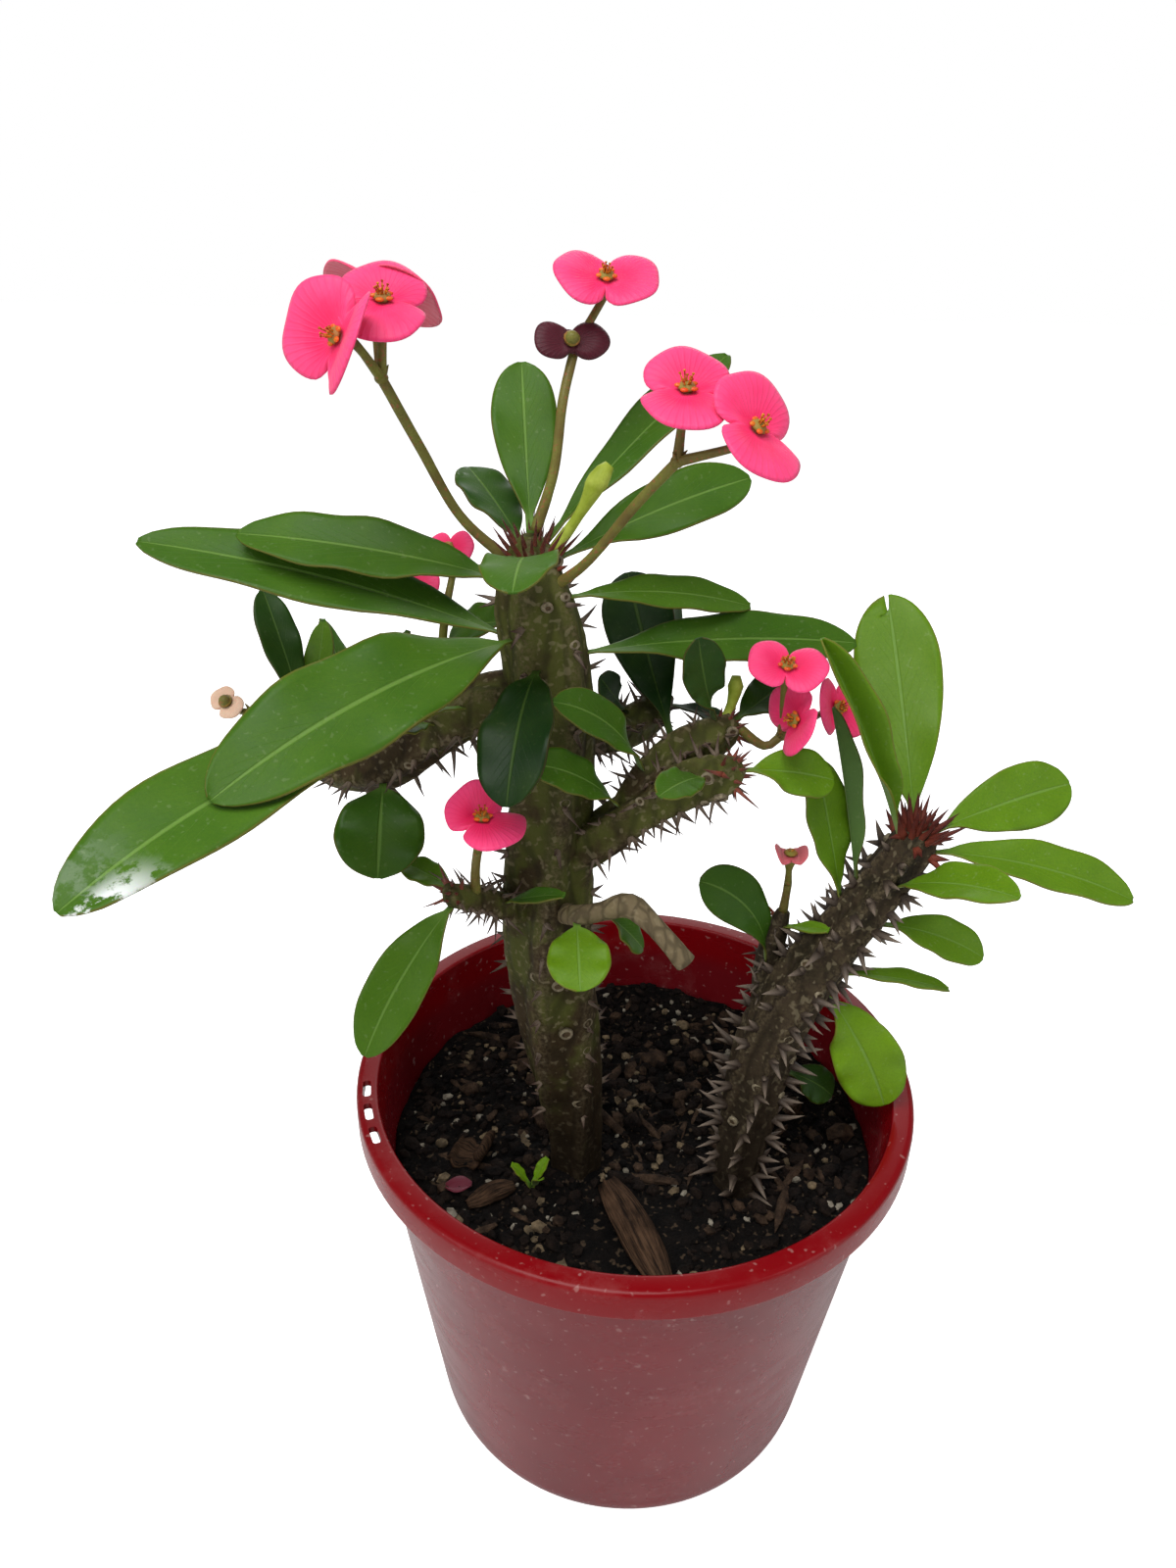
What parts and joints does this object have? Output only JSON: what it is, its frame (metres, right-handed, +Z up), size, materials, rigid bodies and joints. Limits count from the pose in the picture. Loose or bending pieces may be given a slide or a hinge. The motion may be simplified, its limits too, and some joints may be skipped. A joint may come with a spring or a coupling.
{
  "type": "crown of thorns plant",
  "caption": "Crown of thorns plant with thorny stems, green leaves and pink flowers, growing in a round red plastic nursery pot.",
  "frame": {"origin": "centre of the pot's flat base, on the surface that it stands on", "axes": "+Z up along the pot's axis, +X to the right and -Y to the front, which is the side the picture shows"},
  "size_m": [0.3211, 0.2198, 0.422],
  "materials": {
    "pot": "satin",
    "soil": "matte",
    "bark": "matte",
    "trunk": "matte",
    "second_stem": "matte",
    "stalk": "satin",
    "petal": "satin",
    "leaf": "satin"
  },
  "bodies": {
    "root": {"bark_large": "bark", "bark_small": "bark", "bracts_back_a": "petal", "bracts_back_b": "petal", "bracts_left_a": "petal", "bracts_left_b": "petal", "bracts_left_c": "petal", "bracts_low": "petal", "bracts_right_a": "petal", "bracts_right_b": "petal", "bracts_side_a": "petal", "bracts_side_b": "petal", "bracts_side_c": "petal", "bracts_top": "petal", "leaf_back_left_a": "leaf", "leaf_front_dark": "leaf", "leaf_left_big": "leaf", "leaf_left_long": "leaf", "leaf_left_lowest": "leaf", "leaf_left_under": "leaf", "leaf_low_disc": "leaf", "leaf_low_left": "leaf", "leaf_low_round": "leaf", "leaf_right_forward": "leaf", "leaf_right_long": "leaf", "leaf_right_long_back": "leaf", "leaf_right_low": "leaf", "leaf_right_mid": "leaf", "leaf_right_upright": "leaf", "leaf_right_yellow": "leaf", "leaf_second_broad": "leaf", "leaf_second_curled": "leaf", "leaf_second_edge": "leaf", "leaf_second_folded": "leaf", "leaf_second_front": "leaf", "leaf_second_hanging": "leaf", "leaf_second_low": "leaf", "leaf_second_tall": "leaf", "leaf_second_thin": "leaf", "leaf_top_back": "leaf", "leaf_top_front": "leaf", "leaf_top_left": "leaf", "leaf_top_right": "leaf", "leaf_top_right_far": "leaf", "leaf_top_upright": "leaf", "pot": "pot", "second_stem": "second_stem", "soil": "soil", "stalk_back": "stalk", "stalk_faded": "stalk", "stalk_left": "stalk", "stalk_low": "stalk", "stalk_pale": "stalk", "stalk_right": "stalk", "stalk_side": "stalk", "stalk_top": "stalk", "trunk": "trunk"}
  },
  "joints": []
}
